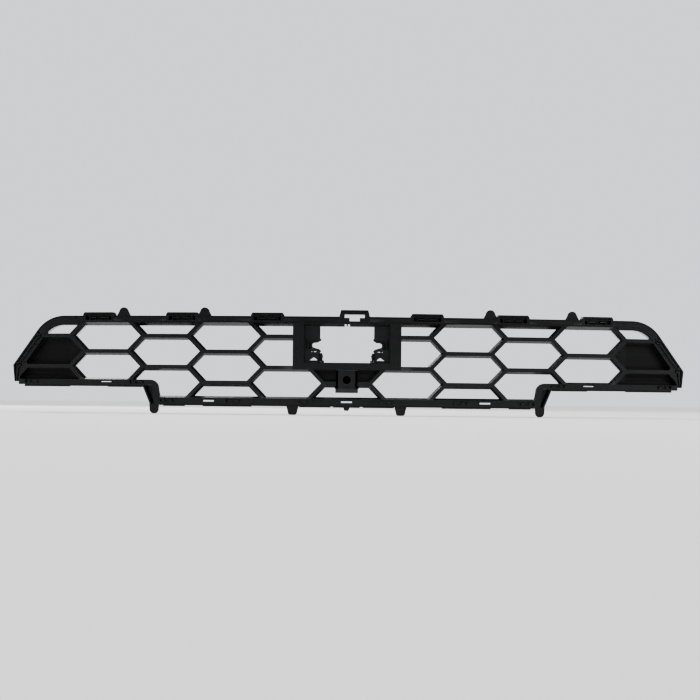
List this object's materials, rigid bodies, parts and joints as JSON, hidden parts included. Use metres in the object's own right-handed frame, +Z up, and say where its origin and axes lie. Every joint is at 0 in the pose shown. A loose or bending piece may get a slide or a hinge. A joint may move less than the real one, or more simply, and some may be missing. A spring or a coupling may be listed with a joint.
{
  "type": "front grille",
  "caption": "Lower front grille of a car: black honeycomb mesh in a swept rail frame, with a sensor window, a camera housing and snap clips along the edges",
  "frame": {"origin": "the mouth of the camera bore, on the front-most plane of the mesh", "axes": "+X along the grille, to the right as seen from the front; +Y towards the car, away from the viewer; +Z up"},
  "size_m": [1.1924, 0.0973, 0.1855],
  "materials": {
    "mesh_plastic": "black moulded plastic, satin, finely grained",
    "rail_plastic": "black moulded plastic, satin, finely grained",
    "trim_plastic": "black moulded plastic, semi-gloss",
    "panel_plastic": "black moulded plastic, matte",
    "camera_plastic": "black moulded plastic, satin",
    "clip_plastic": "black moulded plastic, satin",
    "screw_steel": "zinc-plated steel"
  },
  "bodies": {
    "grille": {"mesh_left": "mesh_plastic", "mesh_right": "mesh_plastic", "top_rail": "rail_plastic", "bottom_rail": "rail_plastic", "side_rail_left": "rail_plastic", "side_rail_right": "rail_plastic", "end_trim_left": "trim_plastic", "end_trim_right": "trim_plastic", "end_panel_left": "panel_plastic", "end_panel_right": "panel_plastic", "end_snaps": "trim_plastic", "sensor_frame": "rail_plastic", "sensor_bracket_left": "clip_plastic", "sensor_bracket_right": "clip_plastic", "bracket_screws": "screw_steel", "panel_screws": "screw_steel", "camera_panel": "panel_plastic", "camera_housing": "camera_plastic", "camera_ledge": "camera_plastic", "centre_hook": "rail_plastic", "clip_frame_1": "rail_plastic", "clip_frame_2": "rail_plastic", "clip_frame_3": "rail_plastic", "clip_frame_4": "rail_plastic", "clip_frame_5": "rail_plastic", "clip_frame_6": "rail_plastic", "top_tabs": "rail_plastic", "bottom_tabs": "rail_plastic", "lower_flange_left": "rail_plastic", "lower_flange_centre": "rail_plastic", "lower_flange_right": "rail_plastic", "lower_hooks": "clip_plastic"},
    "tongue_1": {"clip_tongue_1": "clip_plastic"},
    "tongue_2": {"clip_tongue_2": "clip_plastic"},
    "tongue_3": {"clip_tongue_3": "clip_plastic"},
    "tongue_4": {"clip_tongue_4": "clip_plastic"},
    "tongue_5": {"clip_tongue_5": "clip_plastic"},
    "tongue_6": {"clip_tongue_6": "clip_plastic"},
    "latch_left": {"sensor_latch_left": "clip_plastic"},
    "latch_right": {"sensor_latch_right": "clip_plastic"}
  },
  "joints": [
    {"name": "clip_tongue_1_flex", "type": "hinge", "parent": "grille", "child": "tongue_1", "pos_m": [-0.43749, 0.04731, 0.1104], "axis": [0.9845, -0.1756, 0], "range_deg": [0, 8], "stiffness_Nm_per_rad": 0.002},
    {"name": "clip_tongue_2_flex", "type": "hinge", "parent": "grille", "child": "tongue_2", "pos_m": [-0.28801, 0.0253, 0.1104], "axis": [0.9933, -0.1156, 0], "range_deg": [0, 8], "stiffness_Nm_per_rad": 0.002},
    {"name": "clip_tongue_3_flex", "type": "hinge", "parent": "grille", "child": "tongue_3", "pos_m": [-0.13852, 0.01245, 0.1104], "axis": [0.9985, -0.0556, 0], "range_deg": [0, 8], "stiffness_Nm_per_rad": 0.002},
    {"name": "clip_tongue_4_flex", "type": "hinge", "parent": "grille", "child": "tongue_4", "pos_m": [0.13852, 0.01245, 0.1104], "axis": [0.9985, 0.0556, 0], "range_deg": [0, 8], "stiffness_Nm_per_rad": 0.002},
    {"name": "clip_tongue_5_flex", "type": "hinge", "parent": "grille", "child": "tongue_5", "pos_m": [0.28801, 0.0253, 0.1104], "axis": [0.9933, 0.1156, 0], "range_deg": [0, 8], "stiffness_Nm_per_rad": 0.002},
    {"name": "clip_tongue_6_flex", "type": "hinge", "parent": "grille", "child": "tongue_6", "pos_m": [0.43749, 0.04731, 0.1104], "axis": [0.9845, 0.1756, 0], "range_deg": [0, 8], "stiffness_Nm_per_rad": 0.002},
    {"name": "sensor_latch_right_flex", "type": "hinge", "parent": "grille", "child": "latch_right", "pos_m": [0.0442, 0.01425, 0.0328], "axis": [0, 1, 0], "range_deg": [0, 8], "stiffness_Nm_per_rad": 0.004},
    {"name": "sensor_latch_left_flex", "type": "hinge", "parent": "grille", "child": "latch_left", "pos_m": [-0.0442, 0.01425, 0.0328], "axis": [0, -1, 0], "range_deg": [0, 8], "stiffness_Nm_per_rad": 0.004}
  ]
}
